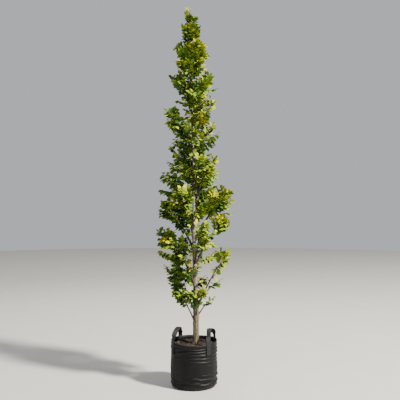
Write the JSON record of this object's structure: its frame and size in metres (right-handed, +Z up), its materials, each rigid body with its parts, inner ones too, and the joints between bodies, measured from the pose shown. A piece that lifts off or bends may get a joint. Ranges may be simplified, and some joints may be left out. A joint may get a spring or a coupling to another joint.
{
  "type": "columnar beech in a fabric planting bag",
  "caption": "Young columnar tree: a straight tapering trunk, steep side shoots in leaf almost from its foot to its tip, and a soft black planting bag with webbing carrying loops.",
  "frame": {"origin": "centre of the bag's flat underside", "axes": "+Z up along the trunk, +X towards one carrying loop, which is the right-hand side as the plant is seen from its front, -Y towards the front"},
  "size_m": [0.6266, 0.6169, 2.9976],
  "materials": {
    "bag": "matt black non-woven planting fabric",
    "webbing": "ribbed black webbing with a slight sheen",
    "compost": "loose moist compost with chips of bark",
    "bark": "smooth grey-brown bark with fine pores",
    "deep_leaf": "satin deep green leaf",
    "fresh_leaf": "satin yellow-green young leaf"
  },
  "bodies": {
    "root": {"bag": "bag", "compost": "compost", "handle_right": "webbing", "handle_left": "webbing", "trunk": "bark", "bough_right_01": "bark", "bough_right_02": "bark", "bough_right_03": "bark", "bough_right_04": "bark", "bough_right_05": "bark", "bough_right_06": "bark", "bough_left_01": "bark", "bough_left_02": "bark", "bough_left_03": "bark", "bough_left_04": "bark", "bough_left_05": "bark", "bough_front_01": "bark", "bough_front_02": "bark", "bough_front_03": "bark", "bough_back_01": "bark", "bough_back_02": "bark", "bough_back_03": "bark", "foliage_right_01": "deep_leaf", "foliage_right_02": "deep_leaf", "foliage_right_03": "fresh_leaf", "foliage_right_04": "deep_leaf", "foliage_right_05": "deep_leaf", "foliage_right_06": "fresh_leaf", "foliage_right_07": "deep_leaf", "foliage_right_08": "deep_leaf", "foliage_right_09": "fresh_leaf", "foliage_right_10": "deep_leaf", "foliage_right_11": "deep_leaf", "foliage_left_01": "fresh_leaf", "foliage_left_02": "deep_leaf", "foliage_left_03": "deep_leaf", "foliage_left_04": "fresh_leaf", "foliage_left_05": "deep_leaf", "foliage_left_06": "deep_leaf", "foliage_left_07": "fresh_leaf", "foliage_left_08": "deep_leaf", "foliage_left_09": "deep_leaf", "foliage_left_10": "fresh_leaf", "foliage_front_01": "deep_leaf", "foliage_front_02": "deep_leaf", "foliage_front_03": "fresh_leaf", "foliage_front_04": "deep_leaf", "foliage_front_05": "deep_leaf", "foliage_front_06": "fresh_leaf", "foliage_front_07": "deep_leaf", "foliage_front_08": "deep_leaf", "foliage_back_01": "fresh_leaf", "foliage_back_02": "deep_leaf", "foliage_back_03": "deep_leaf", "foliage_back_04": "fresh_leaf", "foliage_back_05": "deep_leaf", "foliage_back_06": "deep_leaf", "foliage_back_07": "fresh_leaf", "foliage_back_08": "deep_leaf", "foliage_leader": "deep_leaf"}
  },
  "joints": []
}
